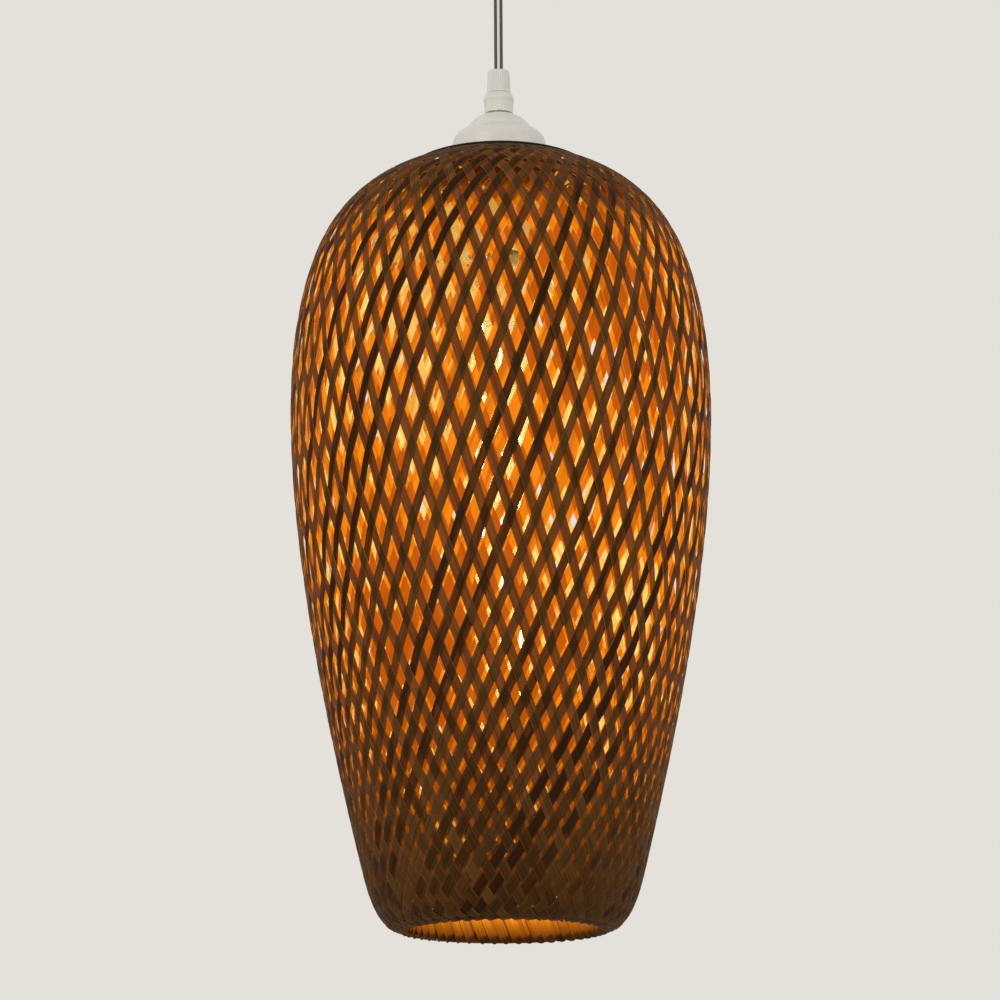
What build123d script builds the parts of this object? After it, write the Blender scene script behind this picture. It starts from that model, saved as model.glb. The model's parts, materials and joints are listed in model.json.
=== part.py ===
from build123d import *
import math
import os

# Pendant lamp: a vase-shaped shade woven from bamboo strips hangs by a short cord from a
# ceiling cup, and a long tubular bulb screws into a white plastic lampholder inside it.
# Millimetres. The ceiling is the plane z = 0, the lamp's axis is Z, and everything hangs below.

os.makedirs("parts", exist_ok=True)

# General clearances
seat_gap = 0.3         # between pieces that sit on each other
screw_gap = 0.2        # round the shank of a screw in its hole

# Ceiling cup and the strap that carries it
cup_height = 27.0
cup_wall = 2.0
cup_corner = 8.0
bar_length = 90.0
bar_end_gap = 3.0      # from the strap's ends to the cup's wall
bar_width = 16.0
bar_thickness = 2.0
ceiling_screw_spacing = 56.0
ceiling_slot_length = 12.0
ceiling_slot_width = 4.5
stud_inset = 6.0       # from a stud to the strap's end
stud_radius = 2.0
cap_nut_radius = 4.6
cap_nut_height = 6.0
cap_nut_crown = 1.5    # solid end of a cap nut
cap_nut_round = 2.5

# Terminal block under the strap
block_length = 20.0
block_width = 15.0
block_height = 12.0
block_chamfer = 1.0
pole_spacing = 10.0
wire_bore = 1.8
clamp_screw_radius = 1.5
clamp_screw_recess = 0.5
wire_slack = 6.5       # how far the wires bow out behind the block
wire_bend = 1.3

# Cord and its outlet in the cup
cord_radius = 2.5
cord_clearance = 0.4
wire_radius = 1.1
wire_spread = 1.3      # from the cord's axis to each conductor where the jacket ends
outlet_thread_radius = 5.0
outlet_drop = 14.0     # how far the outlet bush stands below the cup
outlet_flange_radius = 8.0
outlet_flange = 1.5
outlet_flange_taper = 1.0
outlet_tip_radius = 6.2
outlet_mouth_radius = 4.8
outlet_mouth_depth = 7.0
outlet_nut_height = 4.0
clamp_screw_proud = 0.6    # of the outlet's clamp screw
outlet_above_floor = 5.5
pivot_above_mouth = 2.0
cord_drop = 49.0       # from the swing pivot to the top of the cord grip

# Cord grip on top of the lampholder
sleeve_length = 12.5
sleeve_top_radius = 5.5
sleeve_base_radius = 6.2
sleeve_round = 0.9
rib_count = 30
rib_depth = 0.35
collar_length = 10.3
collar_radius = 7.8
collar_foot_radius = 7.1
collar_bevel = 2.6
collar_band = 1.0
jaw_wall = 1.2
jaw_slit = 1.0
jaw_rise = 1.4         # the jaw's foot above the nipple's end
neck_gap = 1.0         # dark gap between the grip's collar and the holder cap
nipple_radius = 4.8
nipple_bore = 3.2
nipple_entry = 1.8     # how far it reaches into the collar
nipple_proud = 1.3     # below its nut
wire_strip_gap = 0.6   # from the nipple to the end of the cord's jacket
nut_radius = 7.2
nut_height = 3.0

# Lampholder
cap_radius = 23.8
cap_height = 29.7
cap_wall = 2.0
cap_neck_radius = 7.2
cap_dome_radius = 17.4
cap_dome_height = 7.7
cap_shoulder_radius = 5.8
cap_dome_bulge = 0.7
holder_radius = 19.8
holder_bore = 17.6
holder_lower_bore = 16.0
holder_length = 46.0   # below the holder cap
holder_flange = 7.5
holder_edge = 1.0
carrier_height = 9.4
carrier_top_drop = 3.5     # carrier's top below the cap's rim
recess_radius = 9.0
recess_depth = 4.8
terminal_hole_depth = 4.7
holder_wire_bend = 2.2
shell_bore = 13.5
shell_wall = 0.45
shell_length = 25.0
shell_hole = 8.5
leaf_thickness = 0.5
leaf_width = 5.0
side_leaf_reach = 9.0      # of the side contact down the brass shell
terminal_x = 6.5
terminal_head_radius = 2.6
terminal_head_height = 1.9
ring_radius = 27.5
ring_height = 8.0
ring_lobes = 24
ring_lobe_radius = 0.9
ring_flange = 1.6      # the wide part on top
ring_grip_radius = 25.5
ring_edge = 1.0

# Woven shade: heights run up from the rim, radii are those of the outer layer's middle
strip_count = 52
strip_width = 4.0
strip_thickness = 0.5
layer_pitch = 1.0      # from the inner layer's middle to the outer layer's
strip_fill = 0.86      # most of the pitch that a strip may take where strips crowd
right_turn = 36.0      # radius times sine of the lean, which stays the same along a flat strip
left_turn = 31.0
rim_radius = 50.2
rim_hoop_radius = 1.8
fold_height = 15.5     # how far the folded strips reach up inside the mouth
toe_radius, toe_rise = 58.2, 3.9           # each rise is from the point below
heel_radius, heel_rise = 63.6, 7.8
ankle_radius, ankle_rise = 70.0, 20.0
flank_radius, flank_rise = 84.0, 61.0
waist_radius, waist_rise = 98.4, 80.0
belly_radius, belly_rise = 105.6, 83.0
shoulder_radius, shoulder_rise = 99.6, 67.0
brow_radius, brow_rise = 82.4, 40.0
crown_radius, crown_rise = 62.0, 18.5
neck_radius, neck_rise = 39.5, 10.4
rim_slope = 0.12       # of the wall where it leaves the rim, up per unit outwards
neck_slope = 0.40      # of the wall at the neck
wall_section_count = 15
turn_weight = 0.5      # of a strip's turn round the axis against the wall's bending
fold_section_count = 2
liner_strip_count = 24
liner_strip_width = 11.0
liner_fill = 0.70      # most of the pitch that one of its strips may take
liner_pitch = 1.3      # from the liner's outer layer to its inner layer
liner_foot = 12.0      # how far the liner's lower end stands above the rim
crown_band_width = 4.6
crown_band_thickness = 1.6
plate_thickness = 1.0
plate_lap = 1.2

# Bulb
bulb_radius = 15.0
bulb_length = 300.0
glass_wall = 0.9
bulb_neck_radius = 12.3
bulb_neck_length = 30.0
bulb_cap_radius = 13.15
bulb_cap_length = 22.0
bulb_cap_wall = 0.4
bulb_cap_turned = 11.0     # radius of the cap's turned-in end
bulb_cap_corner = 1.2
bulb_top_gap = 0.5     # the insulator's end below the brass shell's flange
insulator_height = 4.6
insulator_top_radius = 6.0
tip_radius = 4.8
tip_height = 1.7
tip_chamfer = 0.7
close_gap = 0.1        # between the sealed pieces of the bulb
stem_radius = 10.8
stem_height = 34.0
rod_radius = 1.3
stem_waist = 4.2
stem_flare = 9.0       # height of the stem's wide end
rod_overhang = 8.0     # of the stem's rod past the lower spokes
filament_circle = 10.5
filament_count = 6
filament_radius = 0.45
filament_top_drop = 68.0    # below the tip contact
filament_bottom_rise = 30.0  # above the glass end
spoke_radius = 0.4
filament_overhang = 1.0    # past the spokes at each end

# Widths worked out from the strap
cup_radius = bar_length / 2 + bar_end_gap + cup_wall
stud_spacing = bar_length - 2 * stud_inset

# Heights worked out from the ceiling down
cup_floor_z = -cup_height
outlet_z = cup_floor_z - outlet_drop
pivot_z = outlet_z + pivot_above_mouth
sleeve_top_z = pivot_z - cord_drop
collar_top_z = sleeve_top_z - sleeve_length
collar_foot_z = collar_top_z - collar_length
cap_top_z = collar_foot_z - neck_gap
cap_rim_z = cap_top_z - cap_height
nipple_foot_z = cap_top_z - cap_wall - seat_gap - nut_height - nipple_proud
cord_end_z = nipple_foot_z - wire_strip_gap
plate_top_z = cap_rim_z - seat_gap
carrier_top_z = cap_rim_z - carrier_top_drop
carrier_foot_z = carrier_top_z - carrier_height
shell_top_z = carrier_foot_z - seat_gap
insulator_top_z = shell_top_z - shell_wall - bulb_top_gap
tip_top_z = insulator_top_z + tip_height
bulb_end_z = tip_top_z - bulb_length
bulb_cap_top_z = insulator_top_z - insulator_height


def ring_of(outline):
    """Turn a closed half-section, given as (radius, height) corners, round the axis."""
    return revolve(Plane.XZ * make_face(Polyline(*outline, close=True)), Axis.Z)


def tube(outer, inner, low, high):
    """Straight tube about the axis."""
    return ring_of([(inner, low), (outer, low), (outer, high), (inner, high)])


def rod(radius, low, high, x=0.0, y=0.0):
    """Round bar along Z."""
    return Pos(x, y, low) * Cylinder(radius, high - low, align=(Align.CENTER, Align.CENTER, Align.MIN))


def wire_along(points, radius, bends):
    """Round conductor along straight runs joined by arcs."""
    path = FilletPolyline(*points, radius=bends)
    return sweep(Plane(path @ 0, z_dir=path % 0) * Circle(radius), path=path)


def group(solids):
    """Several separate solids in one sub-part."""
    return Compound(children=[piece for one in solids for piece in one.solids()])


def save(shape, name):
    """Write one sub-part to its own file."""
    export_step(shape, f"parts/{name}.step")


# Ceiling cup, open towards the ceiling
def ceiling_cup():
    outer = rod(cup_radius, cup_floor_z, 0)
    outer = fillet(outer.edges().group_by(Axis.Z)[0], cup_corner)
    hollow = rod(cup_radius - cup_wall, cup_floor_z + cup_wall, 1)
    hollow = fillet(hollow.edges().group_by(Axis.Z)[0], cup_corner - cup_wall)
    cup = outer - hollow - rod(outlet_thread_radius + screw_gap, cup_floor_z - 1, 0)
    for side in (-1, 1):
        cup -= rod(stud_radius + screw_gap, cup_floor_z - 1, 0, side * stud_spacing / 2)
    return cup


# Steel strap screwed to the ceiling through two slots
def mounting_bar():
    bar = Pos(0, 0, -bar_thickness / 2) * Box(bar_length, bar_width, bar_thickness)
    bar = fillet(bar.edges().filter_by(Axis.Z), bar_width / 4)
    slot = extrude(SlotOverall(ceiling_slot_length, ceiling_slot_width), amount=-bar_thickness)
    for side in (-1, 1):
        bar -= Pos(side * ceiling_screw_spacing / 2, 0, 0) * slot
        bar -= rod(stud_radius + screw_gap, -bar_thickness, 0, side * stud_spacing / 2)
    return bar


# Two studs through strap and cup, and the cap nuts that hold the cup on them
def cup_studs():
    low = cup_floor_z - cap_nut_height + cap_nut_crown
    return group([rod(stud_radius, low, -seat_gap, side * stud_spacing / 2) for side in (-1, 1)])


def cup_nuts():
    top = cup_floor_z - seat_gap
    nut = rod(cap_nut_radius, top - cap_nut_height, top)
    nut = fillet(nut.edges().group_by(Axis.Z)[0], cap_nut_round)
    nut -= rod(stud_radius + screw_gap, top - cap_nut_height + cap_nut_crown, top)
    return group([Pos(side * stud_spacing / 2, 0, 0) * nut for side in (-1, 1)])


# Two-pole terminal block under the strap
def terminal_block():
    top = -bar_thickness - seat_gap
    middle = top - block_height / 2
    block = Pos(0, 0, middle) * Box(block_length, block_width, block_height)
    block = chamfer(block.edges().filter_by(Axis.Y), block_chamfer)
    for side in (-1, 1):
        x = side * pole_spacing / 2
        block -= Pos(x, 0, middle) * Rot(90, 0, 0) * Cylinder(wire_bore, block_width + 1)
        for y in (-block_width / 4, block_width / 4):
            block -= rod(clamp_screw_radius + screw_gap, top - block_height, middle, x, y)
    return block


def terminal_block_screws():
    block_foot = -bar_thickness - seat_gap - block_height
    high = block_foot + block_height / 2 - wire_radius - screw_gap
    spots = [(sx * pole_spacing / 2, sy * block_width / 4) for sx in (-1, 1) for sy in (-1, 1)]
    return group([rod(clamp_screw_radius, block_foot + clamp_screw_recess, high, x, y) for x, y in spots])


# Nylon bush that leads the cord out of the cup, belled so that the cord can swing
def outlet_bush():
    bore = cord_radius + cord_clearance
    flange_top = cup_floor_z - seat_gap
    flange_low = flange_top - outlet_flange
    top = cup_floor_z + cup_wall + outlet_above_floor
    mouth_top = outlet_z + outlet_mouth_depth
    bush = ring_of([
        (bore, mouth_top), (outlet_mouth_radius, outlet_z), (outlet_tip_radius, outlet_z),
        (outlet_flange_radius, flange_low - outlet_flange_taper), (outlet_flange_radius, flange_top),
        (outlet_thread_radius, flange_top), (outlet_thread_radius, top), (bore, top),
    ])
    clamp_z = (mouth_top + flange_low) / 2
    screw_hole = rod(clamp_screw_radius + screw_gap, 0, outlet_flange_radius + 1)
    return bush - Pos(0, 0, clamp_z) * Rot(0, 90, 0) * screw_hole


def outlet_clamp_screw():
    flange_low = cup_floor_z - seat_gap - outlet_flange
    clamp_z = (outlet_z + outlet_mouth_depth + flange_low) / 2
    tip = cord_radius + seat_gap
    head = outlet_flange_radius + clamp_screw_proud
    return Pos(0, 0, clamp_z) * Rot(0, 90, 0) * rod(clamp_screw_radius, tip, head)


def outlet_nut():
    low = cup_floor_z + cup_wall + seat_gap
    blank = extrude(RegularPolygon(outlet_flange_radius, 6), amount=outlet_nut_height)
    return Pos(0, 0, low) * blank - rod(outlet_thread_radius + screw_gap, low, low + outlet_nut_height)


# Cord: the length held in the cup, the short length that bends at the outlet, and the drop
def cord_in_cup():
    low = pivot_z + cord_radius + seat_gap
    return rod(cord_radius, low, cup_floor_z + cup_wall + outlet_above_floor)


def cord_bend():
    return Pos(0, 0, pivot_z) * Sphere(cord_radius)


def power_cord():
    return rod(cord_radius, collar_top_z, pivot_z - cord_radius - seat_gap)


def cup_wires():
    start = cup_floor_z + cup_wall + outlet_above_floor + seat_gap
    block_foot = -bar_thickness - seat_gap - block_height
    enter = block_foot + block_height / 2
    level = (start + block_foot) / 2
    back = block_width / 2 + wire_slack
    wires = []
    for side in (-1, 1):
        x = side * pole_spacing / 2
        route = [
            (side * wire_spread, 0, start), (side * wire_spread, 0, level),
            (x, -back, level), (x, -back, enter), (x, -block_width / 4, enter),
        ]
        wires.append(wire_along(route, wire_radius, wire_bend))
    return group(wires)


# Cord grip: ribbed sleeve, collar with its jaw, and the threaded nipple
def grip_sleeve():
    bore = cord_radius + cord_clearance
    body = ring_of([
        (bore, collar_top_z + seat_gap), (sleeve_base_radius, collar_top_z + seat_gap),
        (sleeve_top_radius, sleeve_top_z - sleeve_round), (sleeve_top_radius - sleeve_round, sleeve_top_z),
        (bore, sleeve_top_z),
    ])
    middle = sleeve_top_z - sleeve_length / 2
    for k in range(rib_count):
        turn = 360 * k / rib_count
        body -= Rot(0, 0, turn) * Pos(sleeve_base_radius, 0, middle) * Box(
            rib_depth * 2, rib_depth, sleeve_length / 2)
    return body


def grip_collar():
    bore = nipple_radius + screw_gap
    bore_top = collar_foot_z + nipple_entry + screw_gap
    bevel_z = collar_top_z - collar_bevel
    throat = cord_radius + cord_clearance + jaw_wall + screw_gap
    return ring_of([
        (bore, collar_foot_z), (collar_foot_radius, collar_foot_z),
        (collar_radius, bevel_z - collar_band), (collar_radius, bevel_z),
        (sleeve_base_radius + seat_gap, collar_top_z), (throat, collar_top_z),
        (throat, bore_top + bore - throat), (bore, bore_top),
    ])


def grip_jaw():
    inner = cord_radius + cord_clearance / 2
    foot = collar_foot_z + nipple_entry + jaw_rise
    jaw = tube(inner + jaw_wall, inner, foot, collar_top_z - seat_gap)
    slit_length = 2 * (collar_top_z - foot - jaw_wall)
    return jaw - Pos(0, 0, collar_top_z) * Box(2 * collar_radius, jaw_slit, slit_length)


def nipple():
    return tube(nipple_radius, nipple_bore, nipple_foot_z, collar_foot_z + nipple_entry)


def nipple_nut():
    high = cap_top_z - cap_wall - seat_gap
    blank = extrude(RegularPolygon(nut_radius, 6), amount=nut_height)
    return Pos(0, 0, high - nut_height) * blank - rod(nipple_radius + screw_gap, high - nut_height, high)


def cord_tail():
    return rod(cord_radius, cord_end_z, collar_top_z - seat_gap)


# Domed cap of the lampholder
def holder_cap():
    drum_z = cap_top_z - cap_dome_height - cap_shoulder_radius
    shoulder_x = cap_radius - cap_shoulder_radius
    dome_foot = (cap_dome_radius, cap_top_z - cap_dome_height)
    shoulder_top = (shoulder_x, cap_top_z - cap_dome_height - 0.1)
    dome_x = (cap_neck_radius + cap_dome_radius) / 2 + cap_dome_bulge
    dome_mid = (dome_x, cap_top_z - cap_dome_height * 0.36)
    ease = cap_shoulder_radius * math.sqrt(0.5)
    shoulder_mid = (shoulder_x + ease, drum_z + ease)
    outer = [
        ThreePointArc((cap_neck_radius, cap_top_z), dome_mid, dome_foot),
        Line(dome_foot, shoulder_top),
        ThreePointArc(shoulder_top, shoulder_mid, (cap_radius, drum_z)),
        Line((cap_radius, drum_z), (cap_radius, cap_rim_z)),
    ]
    inner_x = cap_radius - cap_wall
    hole = nipple_radius + screw_gap
    inner_dome = (cap_dome_radius - cap_wall, cap_top_z - cap_dome_height - cap_wall)
    inner = [
        Line((cap_radius, cap_rim_z), (inner_x, cap_rim_z)),
        Line((inner_x, cap_rim_z), (inner_x, drum_z)),
        Line((inner_x, drum_z), inner_dome),
        Line(inner_dome, (cap_neck_radius + 1.0, cap_top_z - cap_wall)),
        Line((cap_neck_radius + 1.0, cap_top_z - cap_wall), (hole, cap_top_z - cap_wall)),
        Line((hole, cap_top_z - cap_wall), (hole, cap_top_z)),
        Line((hole, cap_top_z), (cap_neck_radius, cap_top_z)),
    ]
    return revolve(Plane.XZ * make_face(Curve() + outer + inner), Axis.Z)


# Holder body below the cap, with a ledge for the contact carrier
def holder_body():
    low = cap_rim_z - holder_length
    flange_top = cap_rim_z + holder_flange
    flange_radius = cap_radius - cap_wall - seat_gap
    return ring_of([
        (holder_lower_bore, low + holder_edge), (holder_lower_bore + holder_edge, low),
        (holder_radius - holder_edge, low), (holder_radius, low + holder_edge),
        (holder_radius, cap_rim_z), (flange_radius, cap_rim_z),
        (flange_radius, flange_top), (holder_bore, flange_top),
        (holder_bore, carrier_foot_z - seat_gap), (holder_lower_bore, carrier_foot_z - seat_gap),
    ])


def contact_carrier():
    disc = rod(holder_bore - seat_gap, carrier_foot_z, carrier_top_z)
    disc -= rod(recess_radius, carrier_foot_z, carrier_foot_z + recess_depth)
    slot_x = shell_bore + shell_wall + seat_gap + leaf_thickness / 2
    disc -= Pos(-slot_x, 0, carrier_foot_z) * Box(
        leaf_thickness + 2 * seat_gap, leaf_width + 2 * seat_gap, 3 * carrier_height)
    hole_foot = carrier_top_z - terminal_hole_depth
    for side in (-1, 1):
        disc -= rod(clamp_screw_radius + screw_gap, hole_foot, carrier_top_z, side * terminal_x)
    return disc


# Brass shell that takes the bulb's cap, with an inturned flange at its top
def screw_shell():
    outer = shell_bore + shell_wall
    return ring_of([
        (shell_bore, shell_top_z - shell_length), (outer, shell_top_z - shell_length), (outer, shell_top_z),
        (shell_hole, shell_top_z), (shell_hole, shell_top_z - shell_wall),
        (shell_bore, shell_top_z - shell_wall),
    ])


def bent_leaf(points):
    """Sheet metal strip bent along a line of points in the XZ plane."""
    face = trace(Polyline(*points), leaf_thickness)
    return extrude(Plane.XZ * face, amount=leaf_width / 2, both=True)


def centre_contact():
    high = carrier_foot_z + recess_depth - seat_gap - leaf_thickness / 2
    low = tip_top_z + seat_gap + leaf_thickness / 2
    return bent_leaf([(terminal_x + 1.3, high), (3.6, high), (-0.6, low), (-4.4, low), (-6.0, low + 0.8)])


def side_contact():
    x = -(shell_bore + shell_wall + seat_gap + leaf_thickness / 2)
    top = carrier_top_z + seat_gap + leaf_thickness / 2
    leaf = bent_leaf([(x, shell_top_z - side_leaf_reach), (x, top), (-terminal_x + 2.6, top)])
    return leaf - rod(clamp_screw_radius + screw_gap, top - 2, top + 2, -terminal_x)


def holder_terminal_screws():
    under_head = carrier_top_z + seat_gap + leaf_thickness + seat_gap
    screw = rod(clamp_screw_radius, carrier_top_z - terminal_hole_depth + seat_gap, under_head)
    screw += rod(terminal_head_radius, under_head, under_head + terminal_head_height)
    return group([Pos(side * terminal_x, 0, 0) * screw for side in (-1, 1)])


def holder_wires():
    start = cord_end_z - seat_gap
    end = carrier_top_z + seat_gap * 3 + leaf_thickness + terminal_head_height
    drop = start - end
    wires = []
    for side in (-1, 1):
        route = [
            (side * wire_spread, 0, start), (side * wire_spread, 0, start - drop * 0.3),
            (side * terminal_x, 0, end + drop * 0.35), (side * terminal_x, 0, end),
        ]
        wires.append(wire_along(route, wire_radius, holder_wire_bend))
    return group(wires)


# Threaded ring that clamps the shade's plate up against the holder cap
def shade_ring():
    top = plate_top_z - plate_thickness - seat_gap
    low = top - ring_height
    bore = holder_radius + seat_gap
    grip_top = top - ring_flange - ring_edge
    ring = ring_of([
        (bore, low), (ring_grip_radius - ring_edge, low), (ring_grip_radius, low + ring_edge),
        (ring_grip_radius, grip_top), (ring_radius, top - ring_flange), (ring_radius, top), (bore, top),
    ])
    for k in range(ring_lobes):
        ring -= Rot(0, 0, 360 * k / ring_lobes) * rod(ring_lobe_radius, low - 1, grip_top, ring_grip_radius)
    return ring


# Meridian of the woven wall, from the rim hoop up to the neck, in heights above the rim
fold_radius = rim_hoop_radius + seat_gap + layer_pitch + strip_thickness / 2
rim_low = strip_thickness / 2
hoop_height = rim_low + fold_radius
wall_points = [(rim_radius, rim_low)]
for radius, rise in (
    (toe_radius, toe_rise), (heel_radius, heel_rise), (ankle_radius, ankle_rise),
    (flank_radius, flank_rise), (waist_radius, waist_rise), (belly_radius, belly_rise),
    (shoulder_radius, shoulder_rise), (brow_radius, brow_rise), (crown_radius, crown_rise),
    (neck_radius, neck_rise),
):
    wall_points.append((radius, wall_points[-1][1] + rise))
end_tangents = [(1, rim_slope), (-1, neck_slope)]
wall_curve = Spline(*wall_points, tangents=end_tangents, tangent_scalars=[1, 1])
inner_radius = rim_radius - fold_radius
fold_curve = [
    Line((inner_radius, fold_height), (inner_radius, hoop_height)),
    CenterArc((rim_radius, hoop_height), fold_radius, 180, 90),
]


def turn_between(edge, u0, u1, turn, shift, steps=24):
    """Angle that a flat strip turns round the axis between two places on an edge."""
    angle = 0.0
    last = edge @ u0
    for k in range(1, steps + 1):
        point = edge @ (u0 + (u1 - u0) * k / steps)
        radius = (point.X + last.X) / 2 - shift
        angle += turn * (point - last).length / (radius * math.sqrt(radius ** 2 - turn ** 2))
        last = point
    return angle


def ring_stations(edge, sections):
    """Places along the wall: a facet on the rim hoop, one across the crown bands, the rest sag evenly."""
    steps = 400
    every = [k / steps for k in range(steps + 1)]
    places = [u for u in every if (edge @ u - edge @ 0).length > rim_hoop_radius + seat_gap
              and (edge @ 1 - edge @ u).length > crown_band_width + seat_gap]
    total = [0.0]
    for u0, u1 in zip(places, places[1:]):
        bend = (edge % u1 - edge % u0).length
        turn = turn_between(edge, u0, u1, right_turn, layer_pitch, 1)
        length = (edge @ u1 - edge @ u0).length
        total.append(total[-1] + math.sqrt((bend + turn_weight * turn) * length))
    wanted = [total[-1] * k / (sections - 2) for k in range(sections - 1)]
    nearest = [min(range(len(places)), key=lambda k: abs(total[k] - want)) for want in wanted]
    return [0.0] + [places[k] for k in nearest] + [1.0]


def strip_section(edge, place, angle, turn, hand, shift, family=(strip_count, strip_width, strip_fill)):
    """Rectangle across the strip at one place: flat on the wall and square to the strip."""
    point, way = edge @ place, edge % place
    tr, tz = way.X, way.Y
    r, z = point.X - shift * tz, point.Y + shift * tr
    lean = math.asin(turn / r)
    count, width, fill = family
    pitch = 2 * math.pi * r * math.cos(lean) / count
    half = min(width, fill * pitch) / 2
    c, s = math.cos(angle), math.sin(angle)
    middle = Vector(r * c, r * s, z)
    meridian = Vector(tr * c, tr * s, tz)
    normal = Vector(tz * c, tz * s, -tr)
    across = Vector(-s, c, 0) * math.cos(lean) - meridian * (hand * math.sin(lean))
    corners = [(-half, -1), (half, -1), (half, 1), (-half, 1)]
    thick = strip_thickness / 2
    points = [middle + across * a + normal * (b * thick) for a, b in corners]
    return Wire.make_polygon(points, close=True)


def strip(hand, turn, shift, folded):
    """One bamboo strip: a flat ribbon on its helix, with the fold at the rim if it has one."""
    sections = []
    angle = 0.0
    if folded:
        line, arc = fold_curve
        places = [(line, 0.0, 1.0)] + [
            (arc, k / fold_section_count, (k + 1) / fold_section_count) for k in range(fold_section_count)]
        angle = -hand * sum(turn_between(e, u0, u1, turn, shift) for e, u0, u1 in places)
        for edge, u0, u1 in places:
            sections.append(strip_section(edge, u0, angle, turn, hand, shift))
            angle += hand * turn_between(edge, u0, u1, turn, shift)
    stations = ring_stations(wall_curve, wall_section_count)
    sections.append(strip_section(wall_curve, stations[0], angle, turn, hand, shift))
    for u0, u1 in zip(stations, stations[1:]):
        angle += hand * turn_between(wall_curve, u0, u1, turn, shift)
        sections.append(strip_section(wall_curve, u1, angle, turn, hand, shift))
    return Solid.make_loft(sections, ruled=True)


def crown_band(side):
    """Flat bamboo band on the strips' ends at the neck: side 1 lies over them, -1 under them."""
    end, along = wall_curve @ 1, wall_curve % 1
    out = Vector(along.Y, -along.X)
    if side > 0:
        lift = strip_thickness / 2 + seat_gap + crown_band_thickness / 2
    else:
        lift = -(layer_pitch + strip_thickness / 2 + seat_gap + crown_band_thickness / 2)
    middle = end - along * (crown_band_width / 2) + out * lift
    half_width, half_thickness = along * (crown_band_width / 2), out * (crown_band_thickness / 2)
    signs = ((-1, -1), (1, -1), (1, 1), (-1, 1))
    corners = [middle + half_width * a + half_thickness * b for a, b in signs]
    return [(corner.X, corner.Y) for corner in corners]


under_band = crown_band(-1)
band_top_end, band_low_end = under_band[1], under_band[0]
band_slope = (band_top_end[1] - band_low_end[1]) / (band_top_end[0] - band_low_end[0])
plate_radius = band_top_end[0] + plate_lap
plate_top = band_top_end[1] + band_slope * plate_lap - seat_gap
shade_z = plate_top_z - plate_top


def around(one, start, count=strip_count):
    """A family of strips: copies at even turns, begun at a share of their pitch and lowered into place."""
    base = Pos(0, 0, shade_z) * one
    turns = [360 * (k + start) / count for k in range(count)]
    return [Rot(0, 0, turn) * base for turn in turns]


def right_strips():
    return group(around(strip(1, right_turn, layer_pitch, False), 0.0))


def left_strips():
    return group(around(strip(-1, left_turn, 0.0, True), 0.5))


def rim_hoop():
    profile = Pos(rim_radius, shade_z + hoop_height) * RegularPolygon(rim_hoop_radius, 8)
    return revolve(Plane.XZ * profile, Axis.Z)


def crown_hoop():
    return Pos(0, 0, shade_z) * ring_of(under_band)


def crown_binding():
    return Pos(0, 0, shade_z) * ring_of(crown_band(1))


# Inner liner of the shade: a coarse lattice of broad strips, hung under the crown hoop
def liner_strip(hand, turn, shift):
    every = [k / 400 for k in range(401)]
    foot = next(u for u in every if (wall_curve @ u).Y > liner_foot)
    top = next(u for u in reversed(every) if (wall_curve @ 1 - wall_curve @ u).length > crown_band_width)
    stations = [foot] + [u for u in ring_stations(wall_curve, wall_section_count) if foot < u < top] + [top]
    family = (liner_strip_count, liner_strip_width, liner_fill)
    angle, sections = 0.0, []
    for last, place in zip([foot] + stations, stations):
        angle += hand * turn_between(wall_curve, last, place, turn, shift)
        sections.append(strip_section(wall_curve, place, angle, turn, hand, shift, family))
    return Solid.make_loft(sections, ruled=True)


def inner_liner():
    outer = layer_pitch + seat_gap + crown_band_thickness + seat_gap + strip_thickness
    left = liner_strip(-1, left_turn, outer)
    right = liner_strip(1, right_turn, outer + liner_pitch)
    return group(around(left, 0.5, liner_strip_count) + around(right, 0.0, liner_strip_count))


def shade_plate():
    bore = holder_radius + seat_gap
    return tube(plate_radius, bore, plate_top_z - plate_thickness, plate_top_z)


# Bulb: glass tube, metal cap, insulator and tip, and what the glass holds
def bulb_glass():
    cap_foot = bulb_cap_top_z - bulb_cap_length
    neck_top = cap_foot + bulb_neck_length / 2
    full_z = cap_foot - bulb_neck_length / 2
    shape = []
    for off in (0.0, glass_wall):
        end = bulb_end_z + off
        rad, neck = bulb_radius - off, bulb_neck_radius - off
        centre_z = bulb_end_z + bulb_radius
        ease = rad * math.sqrt(0.5)
        shape.append([
            ThreePointArc((0, end), (ease, centre_z - ease), (rad, centre_z)),
            Line((rad, centre_z), (rad, full_z)),
            Spline((rad, full_z), (neck, cap_foot), tangents=[(0, 1), (0, 1)]),
            Line((neck, cap_foot), (neck, neck_top)),
        ])
    outside, inside = shape
    ends = [
        Line((0, bulb_end_z), (0, bulb_end_z + glass_wall)),
        Line((bulb_neck_radius, neck_top), (bulb_neck_radius - glass_wall, neck_top)),
    ]
    return revolve(Plane.XZ * make_face(Curve() + outside + inside + ends), Axis.Z)


def bulb_cap_shell():
    low = bulb_cap_top_z - bulb_cap_length
    inner = bulb_cap_radius - bulb_cap_wall
    return ring_of([
        (inner, low), (bulb_cap_radius, low), (bulb_cap_radius, bulb_cap_top_z - bulb_cap_corner),
        (bulb_cap_turned, bulb_cap_top_z), (bulb_cap_turned, bulb_cap_top_z - bulb_cap_wall),
        (inner, bulb_cap_top_z - bulb_cap_corner - bulb_cap_wall),
    ])


def bulb_insulator():
    return ring_of([
        (0, bulb_cap_top_z + close_gap), (bulb_cap_turned, bulb_cap_top_z + close_gap),
        (insulator_top_radius, insulator_top_z), (0, insulator_top_z),
    ])


def bulb_tip_contact():
    tip = rod(tip_radius, insulator_top_z + close_gap, tip_top_z)
    return chamfer(tip.edges().group_by(Axis.Z)[-1], tip_chamfer)


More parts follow.
